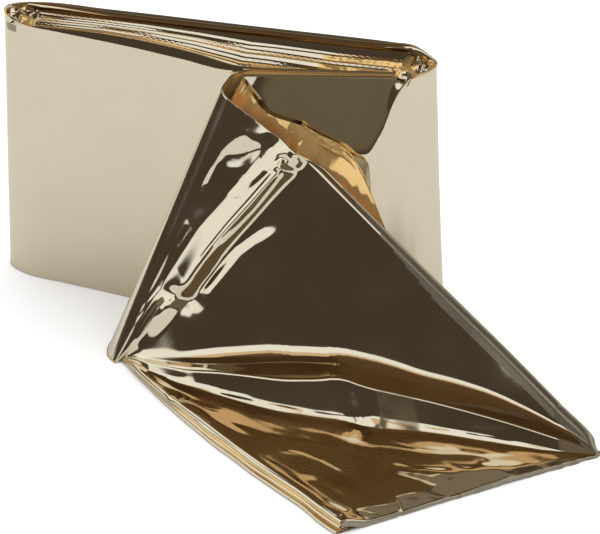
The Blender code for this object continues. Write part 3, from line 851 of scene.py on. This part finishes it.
def pocket_lip(materials):
    """The rolled and crumpled edge of the pocket's back ply."""
    piece = Piece("pocket_lip", materials)
    along = np.linspace(LIP[0][0], 1.0, 160)
    path = back_strip_points(along, 0 * along + 1)
    turns = np.linspace(0, 2 * math.pi, 19)
    around = BEHIND * np.cos(turns)[:, None] + UP * np.sin(turns)[:, None]
    far = along * STRIP_LENGTH
    for k, (setback, drop, size) in enumerate(LIP_ROLLS):
        rough = 1 + 0.45 * facets(points_of(far[:, None], turns * 1.2), 2.4, 0.2, 1.6, 3.3 + k)
        radius = smooth_column(LIP, 1, along)[:, None] * size * rough
        aside = 0.45 * sway(far, 5.0, 1.1 + 2 * k)
        centre = path + BEHIND * (setback + aside)[:, None] - UP * (drop + 0.3 * aside)[:, None]
        spoke = (radius[..., None] * around)[:, ::-1]
        piece.add_shell(centre[:, None] + spoke, centre[:, None] + spoke * 0.6, outer_kind=GOLD)
    return piece.build(sharp=35)


# The loose turn's front leans back towards its upper edge, like a roof, and is plumb by the pack's end
LEAN = 0.32
LEAN_DOWN = 25.0  # how far down from the upper edge it leans
LEAN_ABOVE = 3.0  # how far above the upper edge the roof's ridge would lie
LEAN_END, LEAN_SIDE, LEAN_SOFT = -18.4, 2.0, 0.9

BACK_COLUMNS = 96
BACK_HIDDEN_ROWS, BACK_SEEN_ROWS = 40, 90
TURN_SHARES = (0.06, 0.2, 0.35, 0.5, 0.65, 0.8, 0.92)
POCKET_COUNTS = (12, 8, 6, 6, 6, 6, 6)  # rows to each row of FOLD and on to the first of the loose turn
TURN_COUNTS = (10,) * len(TURN_SHARES)
WRAP_COUNTS = (6, 8, 8, 8, 6, 28, 30, 16, 6, 8, 8, 8, 6, 6, 8, 8, 10, 10, 10, 8, 8, 8, 8)
REAR_CREASES = (
    # along the pack's rear panel and up it, height of the ridge, its width
    (((-148, 26), (-122, 37), (-92, 41), (-58, 55), (-34, 60)), -0.44, 2.2),
    (((-112, 3), (-96, 17), (-84, 38)), 0.42, 2.0),
    (((-62, 63), (-51, 73), (-46, 84)), 0.40, 2.2),
    (((-148, 66), (-126, 60), (-98, 66), (-72, 63)), -0.40, 2.3),
    (((-40, 8), (-58, 19), (-78, 22)), -0.38, 2.0),
    (((-30, 40), (-40, 47), (-54, 46)), 0.34, 1.9),
)
REAR_Y = 151.0  # beyond it lies the pack's rear panel
PACK_NOSE = ((-14, 142), (14, 22))
BACK_FLOOR = 0.02  # least height of the back ply above the floor


def roofed(a, b, c, soft):
    """The least of three heights, with the corners between them rounded over."""
    return -soft * np.logaddexp(np.logaddexp(-a / soft, -b / soft), -c / soft)


def turn_belly(points, height):
    """How far in front of its straight rows the loose turn's front stands, at heights along them."""
    side = (LEAN_END - points[..., 0]) * LEAN_SIDE
    belly = LEAN * roofed(LOOSE_TOP + LEAN_ABOVE - height, LEAN_DOWN, side, LEAN_SOFT)
    return np.maximum(belly, 0) * smooth(height / (2 * LEAN_DOWN))


def wrap_relief(points):
    """Height of the creases and dents on the pack's panels."""
    place = points[..., (0, 2)]
    nose = within(points[..., :2], *PACK_NOSE)
    dents = 0.25 * facets(place, 15.0, 1.5, 1.6, 2.0) + 0.05 * facets(place, 6.0, 0.7, 1.4, 5.0)
    creases = smooth((points[..., 1] - REAR_Y) / 3) * ridges(place, REAR_CREASES, over=0.3)
    return 0.10 * waves(place, 24.0, 1.2, 1.4, 0.7) + nose * dents + creases


def pocket_relief(past, height):
    """Height of the crumples in the pocket, at distances along the ribbon and up it; they grow on the way."""
    place = points_of(past, height)
    crumple = 0.8 * facets(place, 6.0, 1.25, 2.2, 4.0) + 0.35 * facets(place, 2.8, 1.7, 1.8, 9.0)
    return crumple * (0.35 + 0.65 * smooth((past - 0.86 * STRIP_LENGTH) / 12))


def back_ply(materials):
    """The ply under the strip, inside the pocket, along the loose turn and round the pack."""
    across = np.linspace(0, 1, BACK_COLUMNS)
    hidden = np.linspace(0, 0.66, BACK_HIDDEN_ROWS, endpoint=False)
    along = np.concatenate((hidden, np.linspace(0.66, 1, BACK_SEEN_ROWS)))
    strip = back_strip_points(*np.meshgrid(along, across, indexing="ij"))
    turns = [turn_row(share, across) for share in TURN_SHARES]
    keys = [strip[-1], *lofted_rows(2, across), *turns, *wrap_rows(across)]
    rest = spline_rows(keys, (*POCKET_COUNTS, *TURN_COUNTS, *WRAP_COUNTS))[1:]
    grid = np.concatenate((strip, rest))

    across = np.broadcast_to(across, grid.shape[:2])
    height = across * RIBBON_WIDTH
    row = np.arange(len(grid))[:, None]
    turn_start = len(strip) + sum(POCKET_COUNTS)
    wrap_start = turn_start + sum(TURN_COUNTS)
    turn = smooth((row - turn_start + 12) / 24) * smooth((wrap_start + 6 - row) / 7)
    grid = raised(grid, -turn_belly(grid, height) * turn)
    panel = smooth(across / 0.04) * smooth((CAP_FROM - across) / 0.03)
    grid = raised(grid, wrap_relief(grid) * smooth((row - wrap_start + 10) / 20) * panel)
    beyond = STRIP_LENGTH + 0.8 * np.arange(1, len(rest) + 1)
    past = np.concatenate((along * STRIP_LENGTH, beyond))[:, None]
    pocket = smooth((past - 0.68 * STRIP_LENGTH) / 14) * smooth((turn_start - 6 - row) / 12)
    grid = raised(grid, pocket_relief(past, height) * pocket * smooth((across - 0.5) / 0.3))
    grid[..., 2] = np.maximum(grid[..., 2], BACK_FLOOR)
    piece = Piece("back_ply", materials)
    piece.add_shell(raised(grid, FILM), grid, outer_kind=GOLD, inner_kind=SILVER)
    return piece.build()


# ---- the folded edges along the strip's lower edge
EDGE_PLIES = (
    # finish, how far out and how high it lies in mm at the stations, its half-height
    (SILVER, (0.2, 0.7, 0.9), (1.3, 3.1, 3.6), 0.55),
    (GOLD, (0.5, 0.9, 0.6), (0.9, 2.3, 2.6), 0.50),
    (SILVER, (0.7, 1.5, 1.6), (0.7, 1.6, 2.0), 0.40),
    (GOLD, (0.6, 1.3, 1.0), (0.5, 1.1, 1.3), 0.35),
    (SILVER, (0.9, 2.0, 2.6), (0.4, 0.55, 0.5), 0.40),
)
EDGE_STATIONS = (0.0, 0.5, 1.0)  # by the crease, midway and by the free end
EDGE_FILM, EDGE_ROOT = 0.16, 1.6  # thickness of these plies' film, and how far they reach in under the strip


def edge_plies(materials):
    """The folded edges of the plies between, each a half tube that lies against the strip."""
    piece = Piece("edge_plies", materials)
    share = np.linspace(0.0, 1.0, 260)
    base = strip_points(1 - share, 0 * share)
    run = unit(np.gradient(base, axis=0))
    out = points_of(-run[:, 1], run[:, 0], 0.0)
    out = out * np.sign(out @ LOWER_EDGE_OUT)[:, None]
    far = share * STRIP_LENGTH
    turns = np.radians(np.linspace(-80, 95, 12))
    grow = 0.55 + 0.45 * smooth(share / 0.3)
    for k, (finish, outs, levels, half) in enumerate(EDGE_PLIES):
        reach, level = (np.interp(share, EDGE_STATIONS, values) for values in (outs, levels))
        reach = reach + 0.28 * sway(far, 9.0, 1.7 * k + 0.5) * smooth(share / 0.2)
        level = level + 0.10 * sway(far, 7.0, 2.9 * k + 1.5)
        grids = []
        for radius, floor in ((half, 0.06), (half - EDGE_FILM, 0.16)):
            places = [(reach + radius * grow * (1.5 * math.cos(t) - 1.0), t, floor) for t in turns]
            places = [(-EDGE_ROOT, turns[0], 0.1), *places, (-EDGE_ROOT, turns[-1], 0.1)]
            columns = []
            for outwards, t, least in places:
                height = np.maximum(level + radius * grow * math.sin(t), least)
                columns.append(base + out * np.reshape(outwards, (-1, 1)) + UP * height[:, None])
            grids.append(np.stack(columns, axis=1))
        piece.add_shell(*grids, outer_kind=finish)
    return piece.build(sharp=60)


# ---- the plies seen on top of the pack
# The plies come in pairs: a sunk back, then a leaning face
RIBS = (
    # finish left and right of the notch, height seen in mm at the three stations
    (SILVER, SILVER, 0.15, 1.10, 1.20),
    (SILVER, SILVER, 0.35, 0.80, 0.35),
    (SILVER, SILVER, 0.06, 0.22, 0.10),
    (SILVER, GOLD, 0.30, 0.70, 1.90),
    (SILVER, SILVER, 0.06, 0.20, 0.15),
    (SILVER, SILVER, 0.30, 0.70, 0.50),
    (GOLD, SILVER, 0.06, 0.30, 0.12),
    (SILVER, GOLD, 0.30, 0.80, 1.50),
    (SILVER, SILVER, 0.06, 0.22, 0.12),
    (SILVER, SILVER, 0.30, 0.85, 0.30),
    (SILVER, SILVER, 0.06, 0.22, 0.08),
    (GOLD, GOLD, 0.12, 0.40, 0.50),
    (SILVER, SILVER, 0.06, 0.20, 0.06),
    (SILVER, SILVER, 0.35, 0.85, 0.30),
)
NOTCH = -50.0  # where finishes change; ribs that show their gilt side right of it are crumpled there
RIB_STATIONS = (-150.0, -77.0, -22.0)
FACE_RUN, FACE_RISE = 0.55, 0.85  # of the height seen
RIB_STEPS = 4  # grid columns across each rib
TOP_ENDS, TOP_TUCK = (-151.0, -24.0), 0.6  # reach of the ribs along the pack, and in under the wrap's top
SINKS = ((0.0, 0.7), (0.15, 0.9), (0.45, 1.6), (0.8, 2.6), (1.0, 2.9))  # share across a sunk strip, its depth


def wrap_cap_edges(x):
    """Rear and front limits of the gap on top of the pack at places along it, and their heights."""
    rows = np.array(WRAP)
    found = []
    for part, sign, below in ((WRAP_REAR, -1, 1.6), (WRAP_FRONT, 1, 1.4)):
        edge = rows[part]
        edge = edge[np.argsort(edge[:, 0])]
        y, drop, cap = (np.interp(x, edge[:, 0], edge[:, column]) for column in (1, 2, 3))
        found.append((y + sign * cap, RIBBON_WIDTH - drop - below))
    (rear, rear_top), (fore, fore_top) = found
    return rear, fore, rear_top, fore_top


def sunk_strip(piece, rear, front):
    """A leaning gilt strip a little below the tops of two plies, from the rear one to the front one."""
    rows = np.stack([mix(rear, front, share) - UP * sink for share, sink in SINKS], axis=1)
    piece.add_shell(rows, rows - UP * 1.5, outer_kind=GOLD)


def add_tube(piece, path, radius):
    """A rounded edge of film along a path."""
    run = unit(np.gradient(path, axis=0))
    level = unit(np.cross(UP, run))
    turns = np.linspace(0, 2 * math.pi, 9)
    ring = level[:, None] * np.cos(turns)[:, None] + np.cross(run, level)[:, None] * np.sin(turns)[:, None]
    outer, inner = (path[:, None] + ring * size for size in (radius, radius / 2))
    piece.add_shell(outer, inner, outer_kind=SILVER, inner_kind=SILVER)


def rib_steps(x, gap, fall):
    """Each rib's run towards the front and its fall, which together fill the gap, at places along the pack.
    Also the share to which the leaning faces shrink where the gap is narrow."""
    seen = np.array([np.interp(x, RIB_STATIONS, rib[2:]) for rib in RIBS])
    is_face = np.arange(len(RIBS))[:, None] % 2 == 1
    faces, sunk = seen * is_face, seen * ~is_face
    scale = np.clip(gap * 0.4 / (faces.sum(axis=0) * FACE_RUN), 0.1, 1.0)
    shares = sunk / sunk.sum(axis=0)
    steps = []
    for part, total in ((FACE_RUN, gap), (FACE_RISE, fall)):
        own = faces * part * scale
        steps.append(own + shares * (total - own.sum(axis=0)))
    return *steps, scale


def rib_grid(x):
    """The ribs' surface from the rear ply of the wrap to its front one, and the finishes of its columns."""
    rear, fore, rear_top, fore_top = wrap_cap_edges(x)
    rear, fore = rear + TOP_TUCK, fore - TOP_TUCK
    runs, falls, scale = rib_steps(x, rear - fore, rear_top - fore_top)
    wobble = [0.10 * sway(x, 16.0, 1.9 * k) for k in range(len(RIBS) + 1)]
    columns, kinds = [], []
    y, level = rear, rear_top
    for k, (left, right, *_) in enumerate(RIBS):
        for t in np.linspace(0, 1, RIB_STEPS, endpoint=False):
            aside = mix(wobble[k], wobble[k + 1], t) * scale
            rough = 0.03 * np.sin(x * 2.9 + 1.4 * k) * scale * (k % 2)
            if right == GOLD:
                spot = points_of(x, 9.0 * k + 3.0 * t)
                rough = rough + 0.5 * facets(spot, 2.6, 0.2, 1.8, 1.7 * k) * smooth((x - NOTCH) / 3)
            rough = rough * math.sin(math.pi * t)
            columns.append(points_of(x, y - runs[k] * t + aside, level - falls[k] * t + rough))
            kinds.append((left, right))
        y, level = y - runs[k], level - falls[k]
    columns.append(points_of(x, fore, fore_top))
    return np.stack(columns, axis=1), kinds


def pack_plies(materials):
    """The edges of the plies on top of the pack, and those inside the loose turn and in front of the pack."""
    piece = Piece("pack_plies", materials)
    top = np.array([1.0])
    shares = np.linspace(0.0, 0.97, 60)
    front, behind = (np.array([row(share, top)[0] for share in shares]) for row in (turn_row, turn_rear_row))
    pack = points_of(front[:, 0], wrap_cap_edges(front[:, 0])[1] - 0.4, front[:, 2] + 0.4)
    sunk_strip(piece, behind - (0, 0.3, 0), front + (0, 0.3, 0))
    sunk_strip(piece, pack, behind + (0, 0.3, 0))
    for path in (front + (0, 0, 0.2), behind + (0, 0, 0.1)):
        add_tube(piece, path, 0.42)
    x = np.linspace(*TOP_ENDS, 420)
    outer, kinds = rib_grid(x)
    face_kinds = np.where(x[:-1, None] < NOTCH, *np.array(kinds).T)
    piece.add_shell(outer, outer - UP * 3.0, outer_kind=face_kinds.ravel(), inner_kind=SILVER)
    return piece.build(sharp=28)


# ---- crumpled corners
GATHERS = (
    # name, middle, half-lengths along x and y, height of the crumples, facet size
    ("gather_nose", (-22.0, 144.8, 87.4), (7.6, 8.8), 1.5, 3.2),
    ("gather_end", (-150.6, 147.2, 88.2), (5.6, 6.4), 1.1, 2.2),
)


def gathers(materials):
    """Crumpled film that closes two corners of the pack's top."""
    made = []
    u, v = np.meshgrid(np.linspace(-1, 1, 70), np.linspace(-1, 1, 70), indexing="ij")
    inwards = 1 - np.maximum(np.abs(u), np.abs(v))
    for k, (name, middle, reach, rise, size) in enumerate(GATHERS, 1):
        x = middle[0] + reach[0] * u * np.sqrt(1 - v * v / 2)
        y = middle[1] + reach[1] * v * np.sqrt(1 - u * u / 2)
        place = points_of(x, y)
        crumple = facets(place, size, 1.0 + k, 1.8, 3.3 * k)
        crumple = crumple + 0.5 * facets(place, size / 2, 0.3, 1.4, 7.1 * k)
        z = middle[2] + rise * crumple * smooth(inwards / 0.2 + 0.25) - 1.2 * (1 - smooth(inwards / 0.15))
        top = points_of(x, y, z)
        gilt = facets(place[:-1, :-1], size * 1.2, 2.0, 1.5, 5.5 * k) > 0.15
        piece = Piece(name, materials)
        kinds = np.where(gilt, GOLD, SILVER).ravel()
        piece.add_shell(top, top - UP * 2.5, outer_kind=kinds, inner_kind=SILVER)
        made.append(piece.build(sharp=20))
    return made


# ---- floor, light and camera
CAMERA_PLACE = (0.4829, -1.6046, 0.8497)
CAMERA_LOOK = (-0.2545, 0.8648, -0.4328)
LENS, SENSOR = 362.2, 36.0
FLOOR_SIZE, FLOOR_LEVEL = 60.0, -0.0002
FLOOR_SEEN, FLOOR_MIRRORED = (0.99, 0.99, 0.99, 1), (0.63, 0.63, 0.625, 1)  # to the camera, and in the film


def add_choice(tree, kind, others, chosen, output):
    """Show one shader to rays of a kind and another to the rest."""
    shaders = {1: others.outputs[0], 2: chosen.outputs[0]}
    choice = add_node(tree, "MixShader", {0: add_node(tree, "LightPath").outputs[kind], **shaders})
    add_node(tree, output, {"Surface": choice.outputs[0]})


def make_floor():
    bpy.ops.mesh.primitive_plane_add(size=FLOOR_SIZE, location=(0, 0, FLOOR_LEVEL))
    floor = bpy.context.object
    floor.name = "floor"
    material = bpy.data.materials.new("floor_paint")
    material.use_nodes = True
    tree = material.node_tree
    tree.nodes.clear()
    shaders = [add_node(tree, "BsdfDiffuse", {"Color": colour}) for colour in (FLOOR_MIRRORED, FLOOR_SEEN)]
    add_choice(tree, "Is Camera Ray", *shaders, "OutputMaterial")
    floor.data.materials.append(material)


def make_camera():
    camera = bpy.data.objects.new("camera", bpy.data.cameras.new("camera"))
    camera.data.lens, camera.data.sensor_width = LENS, SENSOR
    camera.data.clip_start, camera.data.clip_end = 0.05, 100
    camera.location = CAMERA_PLACE
    camera.rotation_mode = "QUATERNION"
    camera.rotation_quaternion = Vector(CAMERA_LOOK).to_track_quat("-Z", "Y")
    bpy.context.scene.collection.objects.link(camera)
    bpy.context.scene.camera = camera


# What the film mirrors above the floor: soft boxes in a dim warm room. Bearings are measured round from the
# camera's side, to the right as seen from there; angles are in degrees. A later box covers an earlier one.
ROOM = (0.060, 0.045, 0.032)
PALE = 1.3  # strength of the even light that all but the mirrored rays meet
GLOSSY_BOUNCES = 10  # light goes to and fro in the gilt hollows
BOXES = (
    # bearing, half-width, lowest and highest elevation, softness, colour
    (-60, 60, 27, 49, 3, (0.98, 1.01, 1.04)),
    (-60, 60, 49, 58, 2, (0.76, 0.56, 0.36)),
    (-50, 75, 58, 70, 4, (0.125, 0.078, 0.036)),
    (180, 90, 49, 70, 4, (0.056, 0.031, 0.012)),
    (180, 70, 34, 47, 4, (0.20, 0.167, 0.125)),
    (-50, 180, 66, 91, 6, (0.100, 0.056, 0.023)),
    (-142, 18, 2, 40, 8, (0.20, 0.165, 0.115)),
    (-91, 30, 13, 36, 3, (0.97, 0.99, 1.0)),
    (20, 40, 8, 60, 10, (0.145, 0.12, 0.085)),
    (-130, 26, 24, 48, 4, (1.05, 1.06, 1.06)),
    (100, 50, 10, 50, 8, (0.85, 0.82, 0.76)),
)


def make_world():
    """The room that the film mirrors, and an even pale light for all else."""
    world = bpy.data.worlds.new("room")
    bpy.context.scene.world = world
    world.use_nodes = True
    tree = world.node_tree
    tree.nodes.clear()

    def math_node(operation, *values):
        return add_node(tree, "Math", dict(enumerate(values)), operation=operation).outputs[0]

    def combined(a, a_share, b, b_share):
        return math_node("ADD", math_node("MULTIPLY", a, a_share), math_node("MULTIPLY", b, b_share))

    def window(value, low, high, soft):
        """1 between low and high, fading over soft at each end."""
        sides = []
        for edge, half in ((low, soft / 2), (high, -soft / 2)):
            inputs = {"Value": value, "From Min": edge - half, "From Max": edge + half}
            side = add_node(tree, "MapRange", inputs, interpolation_type="SMOOTHSTEP")
            sides.append(side.outputs["Result"])
        return math_node("MULTIPLY", *sides)

    direction = add_node(tree, "TexCoord").outputs["Generated"]
    x, y, z = add_node(tree, "SeparateXYZ", {0: direction}).outputs
    camera_x, camera_y = Vector((-CAMERA_LOOK[0], -CAMERA_LOOK[1])).normalized()
    towards = combined(x, camera_x, y, camera_y)
    rightwards = combined(x, -camera_y, y, camera_x)
    elevation = math_node("DEGREES", math_node("ARCSINE", z))
    colour = (*ROOM, 1)
    for middle, half, low, high, soft, tint in BOXES:
        c, s = math.cos(math.radians(middle)), math.sin(math.radians(middle))
        ahead, beside = combined(towards, c, rightwards, s), combined(rightwards, c, towards, -s)
        off = math_node("DEGREES", math_node("ARCTAN2", beside, ahead))
        share = math_node("MULTIPLY", window(off, -half, half, soft), window(elevation, low, high, soft))
        layer = add_node(tree, "Mix", {"Factor": share, "A": colour, "B": (*tint, 1)}, data_type="RGBA")
        colour = layer.outputs["Result"]
    pale = add_node(tree, "Background", {"Color": (1.0, 1.0, 1.0, 1), "Strength": PALE})
    room = add_node(tree, "Background", {"Color": colour})
    add_choice(tree, "Is Glossy Ray", pale, room, "OutputWorld")


def main():
    make_camera()
    make_floor()
    make_world()
    bpy.context.scene.view_settings.view_transform = "Standard"
    bpy.context.scene.cycles.glossy_bounces = GLOSSY_BOUNCES
    materials = [film_material(*film) for film in FILMS]
    face = face_ply(materials)
    back = back_ply(materials)
    edges = edge_plies(materials)
    lip = pocket_lip(materials)
    plies = pack_plies(materials)
    corners = gathers(materials)


main()
